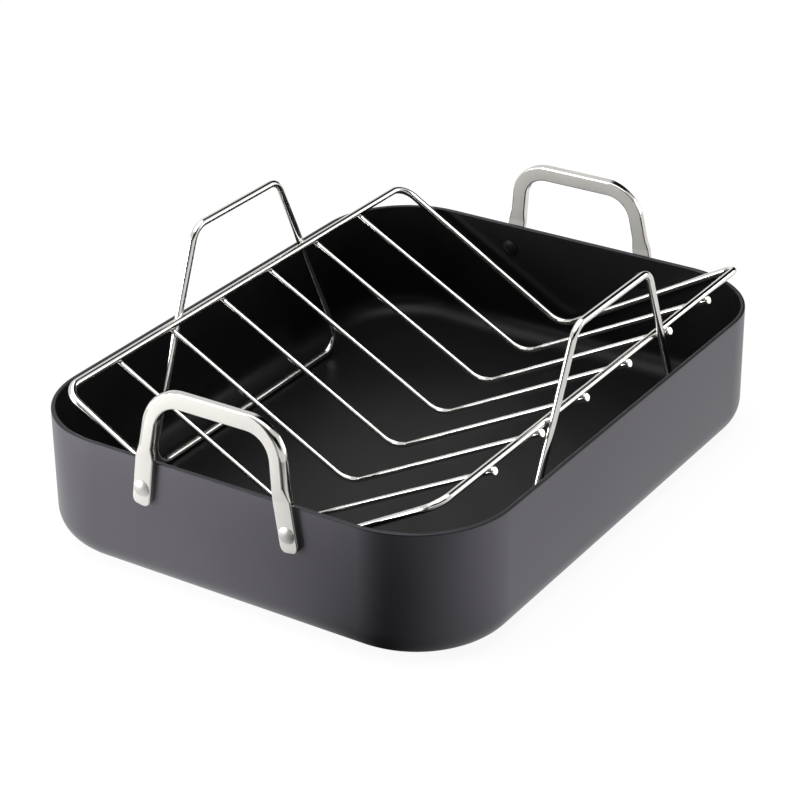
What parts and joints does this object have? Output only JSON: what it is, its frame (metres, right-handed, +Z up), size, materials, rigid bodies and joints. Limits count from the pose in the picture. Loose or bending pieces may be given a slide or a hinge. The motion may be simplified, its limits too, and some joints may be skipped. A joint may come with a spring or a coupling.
{
  "type": "roasting pan with rack",
  "caption": "Deep rectangular roasting pan with rounded corners, riveted upright bar handles and a lift-out V-shaped wire rack with side loops.",
  "frame": {"origin": "under the middle of the pan, on its base", "axes": "+X along the pan from the left handle to the right handle, +Y across it, +Z up"},
  "size_m": [0.4114, 0.308, 0.1509],
  "materials": {
    "anodised_aluminium": "matt dark grey hard-anodised outside, black non-stick inside",
    "handle_steel": "polished stainless steel bar",
    "rivet_steel": "satin rivet, inner end black coated",
    "rack_wire": "bright plated steel wire"
  },
  "bodies": {
    "pan": {"pan_body": "anodised_aluminium", "left_handle": "handle_steel", "left_front_rivet": "rivet_steel", "left_back_rivet": "rivet_steel", "right_handle": "handle_steel", "right_front_rivet": "rivet_steel", "right_back_rivet": "rivet_steel"},
    "rack": {"rack_frame": "rack_wire", "rack_cross_wire_1": "rack_wire", "rack_cross_wire_2": "rack_wire", "rack_cross_wire_3": "rack_wire", "rack_cross_wire_4": "rack_wire", "rack_cross_wire_5": "rack_wire", "rack_cross_wire_6": "rack_wire", "rack_front_loop": "rack_wire", "rack_back_loop": "rack_wire"}
  },
  "joints": [
    {"name": "rack_lift", "type": "slide", "parent": "pan", "child": "rack", "axis": [0, 0, 1], "range_m": [0, 0.2]}
  ]
}
